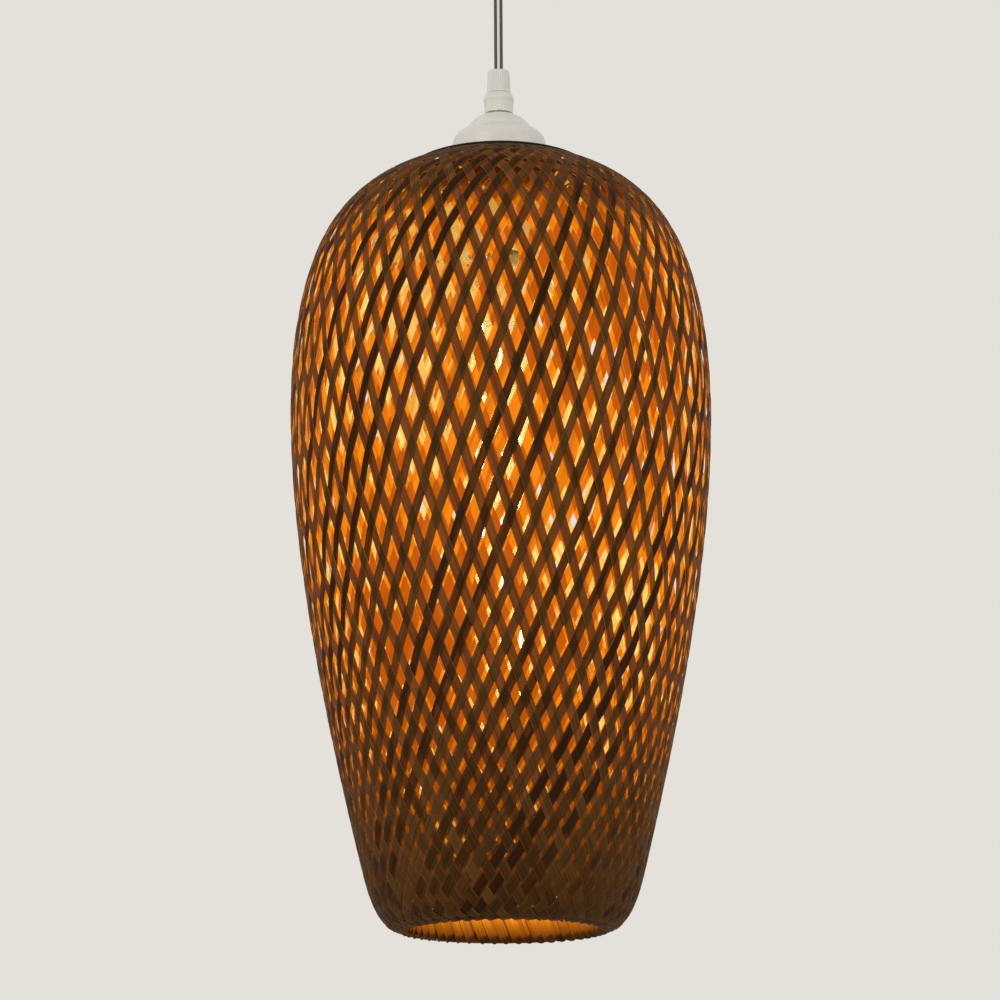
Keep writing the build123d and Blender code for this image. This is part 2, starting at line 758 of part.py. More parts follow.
def glass_stem():
    high = bulb_cap_top_z - bulb_cap_length + bulb_neck_length / 2 - 1.0
    waist_low = high - stem_height
    rod_end = bulb_end_z + filament_bottom_rise - rod_overhang
    return ring_of([
        (0, rod_end), (rod_radius, rod_end), (rod_radius, waist_low),
        (stem_waist, waist_low + stem_waist), (stem_waist, high - stem_flare),
        (stem_radius, high), (0, high),
    ])


def spoke_ring(z):
    """Support wires that stand out of the stem's rod like spokes."""
    start, end = rod_radius + close_gap, filament_circle - filament_radius - close_gap
    spoke = Rot(0, 90, 0) * rod(spoke_radius, start, end)
    turns = [360 * (k + 0.5) / filament_count for k in range(filament_count)]
    return [Pos(0, 0, z) * Rot(0, 0, turn) * spoke for turn in turns]


def support_wires():
    top = tip_top_z - filament_top_drop
    bottom = bulb_end_z + filament_bottom_rise
    return group(spoke_ring(top) + spoke_ring(bottom))


def filaments():
    top = tip_top_z - filament_top_drop + filament_overhang
    bottom = bulb_end_z + filament_bottom_rise - filament_overhang
    turns = [math.radians(360 * (k + 0.5) / filament_count) for k in range(filament_count)]
    spots = [(filament_circle * math.cos(a), filament_circle * math.sin(a)) for a in turns]
    return group([rod(filament_radius, bottom, top, x, y) for x, y in spots])


makers = [
    ceiling_cup, mounting_bar, cup_studs, cup_nuts, terminal_block, terminal_block_screws,
    outlet_bush, outlet_clamp_screw, outlet_nut, cord_in_cup, cup_wires, cord_bend, power_cord,
    grip_sleeve, grip_collar, grip_jaw, nipple, nipple_nut, cord_tail, holder_wires,
    holder_cap, holder_body, contact_carrier, screw_shell, centre_contact, side_contact,
    holder_terminal_screws, shade_ring, shade_plate, crown_hoop, crown_binding, right_strips,
    left_strips, inner_liner, rim_hoop, bulb_glass, bulb_cap_shell, bulb_insulator, bulb_tip_contact,
    glass_stem, support_wires, filaments,
]
for make in makers:
    save(make(), make.__name__)
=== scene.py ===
# %% [markdown]
# # A woven bamboo pendant lamp, lit
#
# The lamp is a vase-shaped basket of thin bamboo strips that hangs on a short cord. Its
# solids come from a CAD model, which is the fixed frame here: every new piece is made in
# the same place and in metres, and rides on one of the model's bodies. This lesson builds
# the looks round that frame: first the camera and the studio, then the weave, the
# lampholder, the ceiling cup, the cord and the bulb, and last a finish for each piece that
# keeps its CAD shape.

# %% Load the frame
import json
import math

import bpy
import numpy as np
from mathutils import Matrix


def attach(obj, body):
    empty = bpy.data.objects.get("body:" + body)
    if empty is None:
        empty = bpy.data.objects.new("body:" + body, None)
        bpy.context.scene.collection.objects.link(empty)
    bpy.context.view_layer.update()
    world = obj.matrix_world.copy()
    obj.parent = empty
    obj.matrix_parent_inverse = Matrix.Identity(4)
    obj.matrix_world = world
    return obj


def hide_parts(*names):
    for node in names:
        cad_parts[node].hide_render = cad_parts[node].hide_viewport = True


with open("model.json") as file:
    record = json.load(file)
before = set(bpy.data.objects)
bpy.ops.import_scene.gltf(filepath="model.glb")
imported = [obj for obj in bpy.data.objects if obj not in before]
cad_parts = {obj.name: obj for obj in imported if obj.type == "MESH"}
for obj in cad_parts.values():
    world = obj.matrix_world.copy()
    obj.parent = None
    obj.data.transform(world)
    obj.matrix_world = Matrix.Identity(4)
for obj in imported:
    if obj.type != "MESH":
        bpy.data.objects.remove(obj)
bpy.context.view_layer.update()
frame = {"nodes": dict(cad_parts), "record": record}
scene = bpy.context.scene

# %% [markdown]
# ## Camera
#
# The photograph was taken with a long lens from about two metres away and from below the
# lamp, so that the far side of the rim shows through the mouth. A long lens keeps the
# sides of the shade nearly parallel.

# %% Camera
tilt_up, turn_right = 12.5, 0.37        # degrees
camera_data = bpy.data.cameras.new("camera")
camera_data.sensor_width = 36.0
camera_data.lens = 154.5
camera = bpy.data.objects.new("camera", camera_data)
camera.location = (-0.0007, -2.1, -0.7786)
camera.rotation_mode = "ZXY"
camera.rotation_euler = (math.radians(90 + tilt_up), 0.0, math.radians(-turn_right))
scene.collection.objects.link(camera)
scene.camera = camera
scene.view_settings.view_transform = "Standard"
print("Camera lens", camera_data.lens, "mm, tilted up by", tilt_up, "degrees")


# %% [markdown]
# ## Small helpers
#
# A colour is written as the hex code that a screen shows, and one function turns it into
# the linear numbers that the shader adds and multiplies. A second one adds a shader node
# with its settings and links, so that a material reads as a list of steps.

# %% Colours and nodes
def linear(code):
    """Hex code to linear RGBA: a channel c becomes ((c + 0.055) / 1.055) ** 2.4, or c / 12.92 if dark."""
    channels = [int(code[k:k + 2], 16) / 255 for k in (1, 3, 5)]
    return [c / 12.92 if c <= 0.04045 else ((c + 0.055) / 1.055) ** 2.4 for c in channels] + [1.0]


def add(tree, kind, values=None, out=0, **settings):
    """One shader node: settings are its own properties, values are sockets that get a number or another
    node's output, and out is the one of its outputs that comes back."""
    made = tree.nodes.new("ShaderNode" + kind)
    for name, value in settings.items():
        setattr(made, name, value)
    set_inputs(tree, made, values or {})
    return made.outputs[out]


def set_inputs(tree, node, values):
    """Numbers go onto the node's own sockets, and outputs are linked to them."""
    for socket, value in values.items():
        if isinstance(value, bpy.types.NodeSocket):
            tree.links.new(value, node.inputs[socket])
        else:
            node.inputs[socket].default_value = value


def new_material(name):
    """An empty node material, its tree and its main shader."""
    material = bpy.data.materials.new(name)
    material.use_nodes = True
    return material, material.node_tree, material.node_tree.nodes["Principled BSDF"]


print("Linear value of a mid grey:", round(linear("#808080")[0], 3))


# %% [markdown]
# ## Studio
#
# An even pale surrounding fills every shadow, and two large soft lamps give the strips a
# lit side. Their sum is about 1, so a colour renders about as it is written. What the
# camera sees of the surrounding, also in gloss and through glass, is a paler colour than
# the one that lights the lamp.

# %% Soft lamps
def area_lamp(name, place, aim, size, watts):
    """A square soft lamp at a place, turned so that its face points at aim."""
    data = bpy.data.lights.new(name, "AREA")
    data.size = size
    data.energy = watts
    lamp = bpy.data.objects.new(name, data)
    lamp.location = place
    away = np.array(place) - np.array(aim)
    level = math.hypot(away[0], away[1])
    lamp.rotation_euler = (math.atan2(level, away[2]), 0.0, math.atan2(away[1], away[0]) + math.pi / 2)
    scene.collection.objects.link(lamp)


shade_middle = (0.0, 0.0, -0.33)
area_lamp("key lamp", (-1.9, -2.3, 0.1), shade_middle, 1.6, 24.0)
area_lamp("fill lamp", (2.3, -1.2, -0.2), shade_middle, 1.6, 10.0)


# %% Surrounding
def seen_share(tree):
    """1 for rays that show the background to the eye (camera, glass and gloss) and 0 for those that light."""
    straight = add(tree, "LightPath", out="Is Camera Ray")
    glass = add(tree, "LightPath", out="Is Transmission Ray")
    gloss = add(tree, "LightPath", out="Is Glossy Ray")
    either = add(tree, "Math", {0: straight, 1: glass}, operation="MAXIMUM")
    return add(tree, "Math", {0: either, 1: gloss}, operation="MAXIMUM")


lighting_grey, pale_backdrop = (0.62, 0.62, 0.62, 1.0), linear("#e4e1db")
world = bpy.data.worlds.new("studio air")
world.use_nodes = True
scene.world = world
air = world.node_tree
backdrop = add(air, "Mix", {0: seen_share(air), 6: lighting_grey, 7: pale_backdrop}, out=2,
               data_type="RGBA")
set_inputs(air, air.nodes["Background"], {"Color": backdrop})
print("World nodes:", len(air.nodes))

# %% Floor
floor_height, floor_reach, floor_corners = -3.4, 9.0, 64
around = np.linspace(0, 2 * np.pi, floor_corners, endpoint=False)
disc = np.stack([floor_reach * np.cos(around), floor_reach * np.sin(around),
                 np.full(floor_corners, floor_height)], axis=1)
floor_mesh = bpy.data.meshes.new("studio_floor")
floor_mesh.from_pydata(disc, [], [list(range(floor_corners))])
floor = bpy.data.objects.new("studio_floor", floor_mesh)
scene.collection.objects.link(floor)
# Matt floor paint, a little lighter to the eye than the light on it makes it
floor_paint, floor_tree, floor_shader = new_material("pale_floor_paint")
seen_floor = add(floor_tree, "Math", {0: seen_share(floor_tree), 1: 0.36}, operation="MULTIPLY")
set_inputs(floor_tree, floor_shader, {"Base Color": linear("#d8d5cf"), "Roughness": 0.85,
                                      "Emission Color": pale_backdrop, "Emission Strength": seen_floor})
floor_mesh.materials.append(floor_paint)
print("Floor", -floor_height, "m below the ceiling")


# %% [markdown]
# ## Surfaces from arrays
#
# Every new piece is a grid of points: so many rows along it and so many points round its
# section. One function turns such a grid into a closed mesh. It takes a whole family of
# equal pieces at once, because the weave has 52 strips in each family.

# %% Grid to mesh
def skin(name, grid, ends="capped", sharp=30.0, points=None, uv=None):
    """Mesh from grid[piece, row, column]: each cell of four neighbours is a quad, and the columns join up.
    The first and last rows join up if ends is "joined", and get a lid each if it is "capped"."""
    pieces, rows, columns, _ = grid.shape
    index = np.arange(pieces * rows * columns).reshape(pieces, rows, columns)
    row = np.concatenate([index, index[:, :1]], axis=1) if ends == "joined" else index
    col = np.concatenate([row, row[:, :, :1]], axis=2)
    quads = np.stack([col[:, :-1, :-1], col[:, :-1, 1:], col[:, 1:, 1:], col[:, 1:, :-1]], axis=-1)
    faces = quads.reshape(-1, 4).tolist()
    if ends == "capped":
        faces += index[:, 0, ::-1].tolist() + index[:, -1, :].tolist()
    mesh = bpy.data.meshes.new(name)
    mesh.from_pydata(grid.reshape(-1, 3), [], faces)
    mesh.polygons.foreach_set("use_smooth", np.ones(len(faces), dtype=bool))
    mesh.set_sharp_from_angle(angle=math.radians(sharp))
    for key, values in (points or {}).items():
        layer = mesh.attributes.new(key, "FLOAT", "POINT")
        layer.data.foreach_set("value", np.broadcast_to(values, grid.shape[:3]).astype(np.float32).ravel())
    if uv is not None:
        corner = np.empty(len(mesh.loops), dtype=np.int32)
        mesh.loops.foreach_get("vertex_index", corner)
        flat = np.stack([np.broadcast_to(part, grid.shape[:3]).ravel() for part in uv], axis=1)
        mesh.uv_layers.new(name="along").data.foreach_set("uv", flat[corner].astype(np.float32).ravel())
    mesh.validate()
    made = bpy.data.objects.new(name, mesh)
    scene.collection.objects.link(made)
    return made


print("Grid helper is ready")


# %% Turned pieces
def turned(name, outline, steps=96, ribs=0, depth=0.0, ribbed=None, sharp=30.0):
    """Closed half-section in mm turned round Z: (r, z) becomes (r cos a, r sin a, z). Ribs take
    depth * (1 - cos(ribs * a)) / 2 off the radius wherever ribbed is 1."""
    outline = np.array(outline) / 1000
    angle = np.linspace(0, 2 * np.pi, steps, endpoint=False)[:, None]
    radius = outline[None, :, 0]
    if ribs:
        wave = (1 - np.cos(ribs * angle)) / 2
        radius = radius - depth / 1000 * wave * np.array(ribbed)[None, :]
    full = (steps, len(outline))
    radius = np.broadcast_to(radius, full)
    height = np.broadcast_to(outline[:, 1], full)
    grid = np.stack([radius * np.cos(angle), radius * np.sin(angle), height], axis=-1)
    along = np.broadcast_to(angle * outline[:, 0].max(), full)
    chords = np.linalg.norm(np.diff(outline, axis=0), axis=1)
    across = np.broadcast_to(np.concatenate([[0], np.cumsum(chords)]), full)
    return skin(name, grid[None], ends="joined", sharp=sharp, uv=(along[None], across[None]))


print("Turning helper is ready")

# %% [markdown]
# ## The wall's meridian
#
# Seen from the side the shade is a vase, and half of its outline is one smooth curve
# through eleven measured points. A cubic spline has the same slope and the same bend on
# both sides of every point, which is what a springy strip does. The lengths along that
# curve and the angles that a flat strip turns round the lamp follow from it: a strip that
# isn't bent sideways keeps its radius times the sine of its lean.

# %% Measures of the shade, in mm
shade_foot = -529.945                   # height of the rim's lowest point below the ceiling
strip_count = 52
strip_thickness = 0.5
right_turn, left_turn = 36.0, 31.0      # radius times sine of the lean, for each family
wall_points = np.array([
    (50.2, 0.25), (58.2, 4.15), (63.6, 11.95), (70.0, 31.95), (84.0, 92.95), (98.4, 172.95),
    (105.6, 255.95), (99.6, 322.95), (82.4, 362.95), (62.0, 381.45), (39.5, 391.85)])
print("Shade", round(wall_points[-1, 1]), "mm tall with", strip_count, "strips each way")


# %% Meridian and turns
def spline(points, first, last, count):
    """Cubic through the points with the given end directions: its slopes m solve
    m[k-1]/h[k-1] + 2 m[k] (1/h[k-1] + 1/h[k]) + m[k+1]/h[k] = 3 (d[k-1]/h[k-1] + d[k]/h[k]),
    where h are the chords and d the slopes of the chords."""
    chords = np.linalg.norm(np.diff(points, axis=0), axis=1)
    slopes = np.diff(points, axis=0) / chords[:, None]
    size = len(points)
    matrix, right = np.eye(size), np.zeros((size, 2))
    right[0], right[-1] = first / np.linalg.norm(first), last / np.linalg.norm(last)
    inner = np.arange(1, size - 1)
    matrix[inner, inner - 1] = 1 / chords[:-1]
    matrix[inner, inner] = 2 * (1 / chords[:-1] + 1 / chords[1:])
    matrix[inner, inner + 1] = 1 / chords[1:]
    right[1:-1] = 3 * (slopes[:-1] / chords[:-1, None] + slopes[1:] / chords[1:, None])
    tangent = np.linalg.solve(matrix, right)
    knots = np.concatenate([[0], np.cumsum(chords)])
    t = np.linspace(0, knots[-1], count)
    k = np.clip(np.searchsorted(knots, t, side="right") - 1, 0, size - 2)
    h = chords[k][:, None]
    x = (t - knots[k])[:, None] / h
    return ((1 + 2 * x) * (1 - x) ** 2 * points[k] + x * (1 - x) ** 2 * h * tangent[k]
            + x ** 2 * (3 - 2 * x) * points[k + 1] - x ** 2 * (1 - x) * h * tangent[k + 1])


wall = spline(wall_points, np.array([1, 0.12]), np.array([-1, 0.40]), 6001)
step = np.linalg.norm(np.diff(wall, axis=0), axis=1)
wall_length = np.concatenate([[0], np.cumsum(step)])
wall_way = np.gradient(wall, axis=0)
wall_way /= np.linalg.norm(wall_way, axis=1)[:, None]


def turn_along(turn, depth):
    """Angle turned from the rim, at a depth inside the wall: the sum of
    turn * ds / (r * sqrt(r ** 2 - turn ** 2))."""
    radius = wall[:, 0] - depth * wall_way[:, 1]
    rate = turn / (radius * np.sqrt(radius ** 2 - turn ** 2))
    return np.concatenate([[0], np.cumsum((rate[1:] + rate[:-1]) / 2 * step)])


print("Meridian", round(wall_length[-1], 1), "mm long, widest at", round(wall[:, 0].max(), 1), "mm")


# %% [markdown]
# ## The weave
#
# Two families of strips lean opposite ways and pass over and under each other. Where a
# strip crosses the other family is a count: it rises by one from crossing to crossing, so
# a sine of that count carries the strip to the outside at one crossing and to the inside
# at the next. A steep sine keeps it flat where it crosses. All crossings of one ring fall
# on the same height, so one formula serves every strip, and the strips differ only in
# their turn, their width and their tone.

# %% Crossings and widths
def half_widths(radius, turn, width, share):
    """Half the width, or half the share of the pitch where the strips crowd, and the pitch itself, which is
    2 pi r cos(lean) / strips."""
    pitch = 2 * np.pi * radius * np.sqrt(1 - (turn / radius) ** 2) / strip_count
    return np.minimum(width, share * pitch) / 2, pitch


def by_row(values):
    """Values of the rows, ready to meet arrays of [strip, row, corner]."""
    return values[None, :, None]


def course(turn, other_turn, depths, per_crossing, skip, fold):
    """A strip's middle line from the rim up: r, z, direction, angle turned, share folded and length along the
    wall, with the other family's turn. Rows lie at even steps of the crossings' count, which is
    strips * (own turn + other's turn) / (2 pi), and skip leaves some out at both ends."""
    own, other = turn_along(turn, depths[0]), turn_along(other_turn, depths[1])
    count = strip_count * (own + other) / (2 * np.pi)
    rows = np.arange(count[0] + skip[0], count[-1] - skip[1], 1 / per_crossing)
    s = np.interp(rows, count, wall_length)
    r = np.interp(s, wall_length, wall[:, 0])
    z = np.interp(s, wall_length, wall[:, 1])
    way = np.stack([np.interp(s, wall_length, wall_way[:, k]) for k in (0, 1)], axis=1)
    way /= np.linalg.norm(way, axis=1)[:, None]
    line = (r, z, way, np.interp(s, wall_length, own), np.zeros(len(rows)), s)
    return (*(with_fold(*line, turn) if fold else line), other)


print("Crossings from rim to neck:",
      round(strip_count * (turn_along(right_turn, 0)[-1] + turn_along(left_turn, 0)[-1]) / (2 * np.pi), 1))

# %% [markdown]
# ## The folded rim
#
# At the mouth the strips that lean left don't end: each one bends under a round cane and
# runs back up inside. There it lies nearly upright and laps over its neighbour like a
# scale, and at the bend it stands a little askew, so the edge of the mouth is a fine saw.

# %% The fold
rim_hoop = (50.2, 3.6)          # middle of the cane's section: radius and height above the rim
fold_gap, fold_top = 3.35, 15.5  # from the cane's middle to the strip, and how high the end reaches
fold_straighter = 0.45          # share of its turn that a strip loses where it is folded up inside
fold_wider = 0.40               # and the share by which it gets wider
fold_lap = 0.13                 # how far it leans onto its neighbour inside
fold_tilt = 0.22                # how far it stands askew at the bend
upright_rows, bend_rows = 6, 7


def with_fold(r, z, way, angle, folded, s, turn):
    """Adds the rows of the fold in front: down inside the mouth, then a quarter circle under the hoop."""
    hoop_r, hoop_z = rim_hoop
    down = np.linspace(fold_top, hoop_z, upright_rows, endpoint=False)
    bend = np.linspace(math.pi, 1.5 * math.pi, bend_rows, endpoint=False)
    fold_r = np.concatenate([np.full(upright_rows, hoop_r - fold_gap), hoop_r + fold_gap * np.cos(bend)])
    fold_z = np.concatenate([down, hoop_z + fold_gap * np.sin(bend)])
    fold_way = np.concatenate([np.tile([0.0, -1.0], (upright_rows, 1)),
                               np.stack([-np.sin(bend), np.cos(bend)], axis=1)])
    length = np.hypot(np.diff(np.append(fold_r, r[0])), np.diff(np.append(fold_z, z[0])))
    gone = np.concatenate([np.ones(upright_rows), 1 - (bend - math.pi) / (math.pi / 2)])
    own = turn * (1 - fold_straighter * gone)
    back = -np.cumsum((own / (fold_r * np.sqrt(fold_r ** 2 - own ** 2)) * length)[::-1])[::-1]
    return (np.concatenate([fold_r, r]), np.concatenate([fold_z, z]), np.concatenate([fold_way, way]),
            np.concatenate([back + angle[0], angle]), np.concatenate([gone, folded]),
            np.concatenate([np.full(upright_rows + bend_rows, s[0]), s]))


print("Fold reaches", fold_top, "mm above the rim")


# %% [markdown]
# ## Light in the material
#
# The lamp's light is in the material, not in a real lamp inside: each point knows the
# height that it has, whether the bulb shines on it, and how near the next crossing is,
# because bamboo glows where it is one strip thick and stays dark where two lie together.

# %% Light by height
def lamp_level(height, lost):
    """Lamp light by height above the rim: full along the bulb, less near the rim, and a share is lost
    towards the crown, above the bulb's lit part."""
    fall = np.clip((height - 338) / 28, 0, 1)
    low = np.clip((height - 10) / 95, 0, 1)
    return (1 - lost * fall * fall * (3 - 2 * fall)) * (0.18 + 0.82 * low)


def rim_level(height):
    """Light on the folded ends: dim at the edge of the mouth and full 13 mm above it."""
    return 0.16 + 0.94 * np.clip((height - 2.0) / 11, 0, 1)


inner_lost = 0.25       # share of the light that inner faces lose towards the crown
print("Light at the belly and near the rim:", lamp_level(250, 0.0), round(float(lamp_level(30, 0.0)), 2))

# %% [markdown]
# ## Strips
#
# A strip's section has four or six corners: flat on its inner side, with a small bevel on
# the bark side, where the knife broke the edge. The liner lies 4 mm further in, of wider
# and less even strips, so the gaps of both sheets meet only here and there.

# %% Where a strip's corners lie
bevel_width = 0.35


def over_and_under(hand, height, n, radius, other_turn, width, share):
    """Lift off the wall: hand * height * tanh(k sin(pi n)) / tanh(k), where n counts the crossings and the
    step k gets steeper as the other family covers more. Also gives the share of the pitch that it covers."""
    other_half, other_pitch = half_widths(radius, other_turn, width, share)
    cover = 2 * other_half / other_pitch
    steep = by_row(1.3 / np.cos(np.pi * np.clip(cover, 0, 0.86) / 2))
    return hand * height * np.tanh(steep * np.sin(np.pi * n)) / np.tanh(steep), cover


def placed(radius, rise, way, lean, phi, hand, across, lift):
    """Corners in space. From the strip's middle (radius, rise) at angle phi, a corner goes lift off the wall
    and across * sin(lean) down along it, and across * cos(lean) round the lamp."""
    up, outward = by_row(way[:, 1]), by_row(way[:, 0])
    slip = across * hand * by_row(np.sin(lean))
    out_r = by_row(radius) + lift * up - slip * outward
    out_z = by_row(rise) - lift * outward - slip * up + shade_foot
    round_way = across * by_row(np.cos(lean))
    return np.stack([out_r * np.cos(phi) - round_way * np.sin(phi),
                     out_r * np.sin(phi) + round_way * np.cos(phi), out_z], axis=-1)


def light_on(above, folded, inner, lost):
    """Lamp light by height, which runs over into the rim's light where a strip is folded."""
    level = lamp_level(above, np.where(inner, inner_lost, lost))
    return level + by_row(folded) * (rim_level(above) - level)


print("Edges are broken by", bevel_width, "mm on the bark side")


# %% One family of strips
width_heights = (20, 150, 330, 375)     # heights above the rim at which widths are given, in mm
widest = 1.06                           # of the given width, for the widest strip


def woven(name, hand, turn, other_turn, depths, start, seed, section, shift, widths, share, height,
          per_crossing, skip, stray, uneven, lost, fold=False):
    """A family of strips, with hand 1 leaning right and -1 leaning left. A strip's middle is
    (r cos a, r sin a, z) with a = hand * angle turned + its place in the ring, and a corner lies beside it by
    its share of the half width."""
    r, z, way, angle, folded, s, other = course(turn, other_turn, depths, per_crossing, skip, fold)
    radius, rise = r - shift * way[:, 1], z + shift * way[:, 0]
    lean = np.arcsin(turn * (1 - fold_straighter * folded) / radius)
    width = np.interp(z, width_heights, widths)
    half = half_widths(radius, turn, width, share)[0] * (1 + fold_wider * folded)
    side, thick, bevelled = (section[None, None, :, k] for k in range(3))
    dice = np.random.default_rng(seed)
    wide = dice.uniform(widest - uneven, widest, strip_count)[:, None, None]
    tone = dice.uniform(0.0, 1.0, strip_count)[:, None, None]
    across = side * by_row(half) * wide
    across = across - np.sign(side) * bevelled * by_row(np.minimum(bevel_width, 0.25 * half))

    # Count of crossings at each corner, and the lift that follows from it
    away = by_row(s) - hand * across * by_row(np.sin(lean))
    n = strip_count * (by_row(angle) + hand * across * by_row(np.cos(lean)) / by_row(radius)
                       + np.interp(away, wall_length, other)) / (2 * np.pi)
    lift, cover = over_and_under(hand, height, n, radius, other_turn, width, share)
    tilt = fold_lap * folded + fold_tilt * np.clip(1 - z / 5, 0, 1) * fold
    lift = lift * by_row(1 - folded) + by_row(tilt) * across + thick * strip_thickness / 2

    # Each strip strays a little from its place, in a wave of 70 to 150 mm
    wave = by_row(s) / dice.uniform(70, 150, (strip_count, 1, 1)) + dice.uniform(0, 1, (strip_count, 1, 1))
    wander = dice.uniform(-1, 1, (strip_count, 1, 1)) + 0.7 * np.sin(2 * np.pi * wave)
    phi = (hand * by_row(angle) + stray * wander / by_row(radius)
           + 2 * np.pi * (np.arange(strip_count)[:, None, None] + start) / strip_count)
    grid = placed(radius, rise, way, lean, phi, hand, across, lift)

    # What the material reads at each corner. Corners are then taken the other way round, to face outwards
    inner = thick < 0
    points = {"lit": np.maximum(inner * 1.0, by_row(np.clip(folded * 2 - 0.9, 0, 1))),
              "lamp": light_on(grid[..., 2] - shade_foot, folded, inner, lost),
              "count": n, "cover": by_row(cover), "tone": tone, "side": side,
              "edge": np.abs(side) * (1 - bevelled), "folded": by_row(folded)}
    points = {key: np.broadcast_to(value, grid.shape[:3])[:, :, ::-1] for key, value in points.items()}
    along = np.cumsum(np.concatenate([[0], np.hypot(np.diff(radius), np.diff(rise))])) / np.cos(lean)
    u = by_row(along) / 1000 + dice.uniform(0, 5, strip_count)[:, None, None]
    v = across[:, :, ::-1] / 1000 + dice.uniform(0, 1, strip_count)[:, None, None]
    made = skin(name, grid[:, :, ::-1] / 1000, points=points, uv=(u, v))
    print(name, "has", strip_count, "strips and", len(made.data.polygons), "faces")
    return made


print("Strip widths are given at heights of", width_heights, "mm")

# %% Four families
# Corners of a section: share across, side of the thickness, and 1 where the bark side's edge is bevelled
outer_section = np.array([(-1, -1, 0), (1, -1, 0), (1, 0.3, 0), (1, 1, 1), (-1, 1, 1), (-1, 0.3, 0)], float)
liner_section = np.array([(-1, -1, 0), (1, -1, 0), (1, 1, 0), (-1, 1, 0)], float)
# Shift is how far inside the wall a strip lies, height how far it is lifted at a crossing, and stray how far
# it leaves its place, all in mm. Skip is how many crossings it stops short of the rim and of the neck
outer_strip = dict(section=outer_section, shift=0.5, widths=(5.5, 4.5, 4.35, 4.9), share=0.93, height=0.36,
                   per_crossing=6, skip=(0.0, 0.0), stray=0.35, uneven=0.14, lost=0.35)
liner_strip = dict(section=liner_section, shift=4.4, widths=(6.9, 5.5, 5.8, 6.4), share=0.95, height=0.3,
                   per_crossing=3, skip=(2.0, 2.4), stray=1.7, uneven=0.30, lost=0.93)
# Depths are how far inside the wall the turns of both families are counted, in mm, and start is the first
# strip's place in the ring, in strips
right_weave = woven("woven_right_strips", 1, right_turn, left_turn, depths=(1.0, 0.0), start=0.0, seed=11,
                    **outer_strip)
left_weave = woven("woven_left_strips", -1, left_turn, right_turn, depths=(0.0, 1.0), start=0.5, seed=12,
                   fold=True, **outer_strip)
liner_right = woven("liner_right_strips", 1, right_turn, left_turn, depths=(4.4, 4.4), start=0.3, seed=13,
                    **liner_strip)
liner_left = woven("liner_left_strips", -1, left_turn, right_turn, depths=(4.4, 4.4), start=0.8, seed=14,
                   **liner_strip)
for piece in (right_weave, left_weave, liner_right, liner_left):
    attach(piece, "lamp")
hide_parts("right_strips")
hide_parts("left_strips")
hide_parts("inner_liner")
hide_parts("inner_liner")
print("Families:", [o.name for o in (right_weave, left_weave, liner_right, liner_left)])


# %% [markdown]
# ## Bamboo
#
# Split bamboo, stained dark and lacquered: fine fibres run along the strip, the cut edges
# are paler than the stained bark and also carry a painted edge highlight, and about one
# strip in four is nearly black. Seen with the lamp lit, a single strip glows red-brown from
# behind and the inner faces are bright orange. The fibres are about a millimetre wide here,
# coarser than the real ones, because finer ones wouldn't show at this distance. The thin
# lacquer is matt, so its gloss is low.

# %% Grain
patch_size = (45.45, 4.348)     # mm along and across the strip, where it took more or less stain


def per_metre(size):
    """How often a pattern of that size in mm comes in a metre: 1000 / size."""
    return 1000.0 / size


def grain(tree, fibre_size):
    """Two noises drawn out along the strip's own map: fine fibres, and broad patches of stain."""
    uv = add(tree, "UVMap", uv_map="along")
    drawn_out = add(tree, "Mapping", {"Vector": uv, "Scale": (*map(per_metre, fibre_size), 1.0)})
    fibre = add(tree, "TexNoise", {"Vector": drawn_out, "Scale": 1.0, "Detail": 3.0, "Roughness": 0.6})
    broad = add(tree, "Mapping", {"Vector": uv, "Scale": (*map(per_metre, patch_size), 1.0)})
    patch = add(tree, "TexNoise", {"Vector": broad, "Scale": 1.0, "Detail": 2.0})
    return fibre, patch


print("Patches of stain:", patch_size, "mm")


# %% Stain
def stained(tree, read, fibre, patch, dark, mid, light, black_share):
    """Base colour, and the tone that it follows: from dark over mid to light by the strip's own tone and its
    patches, deeper in the fibres, and paler on the cut sides and the broken edge, as raw bamboo and as a
    painted edge highlight."""
    tone = add(tree, "Math", {0: read["tone"], 1: 0.8, 2: -0.10}, operation="MULTIPLY_ADD")
    tone = add(tree, "Math", {0: patch, 1: 0.4, 2: tone}, operation="MULTIPLY_ADD")
    stain = add(tree, "ValToRGB", {0: tone})
    steps = tree.nodes[-1].color_ramp.elements
    steps[0].position, steps[0].color = max(black_share - 0.04, 0.0), linear(dark)
    steps[1].position, steps[1].color = 0.95, linear(light)
    steps.new(black_share + 0.06).color = linear(mid)
    deep = add(tree, "Mix", {0: 0.55, 6: stain, 7: linear("#160d03")}, out=2, data_type="RGBA")
    raised = add(tree, "Math", {0: fibre, 1: 3.2, 2: -1.1}, operation="MULTIPLY_ADD", use_clamp=True)
    grained = add(tree, "Mix", {0: raised, 6: deep, 7: stain}, out=2, data_type="RGBA")

    # Pale raw bamboo on the cut sides and the broken edge, which is also a painted edge highlight
    cut = add(tree, "Math", {0: read["side"]}, operation="ABSOLUTE")
    cut = add(tree, "Math", {0: cut, 1: 8.0, 2: -6.9}, operation="MULTIPLY_ADD", use_clamp=True)
    cut = add(tree, "Math", {0: cut, 1: 0.45}, operation="MULTIPLY")
    pale_edge_and_highlight = add(tree, "Math", {0: read["edge"], 1: 3.0}, operation="POWER")
    pale_edge_and_highlight = add(tree, "Math", {0: pale_edge_and_highlight, 1: 0.5}, operation="MULTIPLY")
    pale = add(tree, "Math", {0: cut, 1: pale_edge_and_highlight}, operation="MAXIMUM")
    base = add(tree, "Mix", {0: pale, 6: grained, 7: linear(light)}, out=2, data_type="RGBA")
    return base, tone


print("Stain recipe is ready")


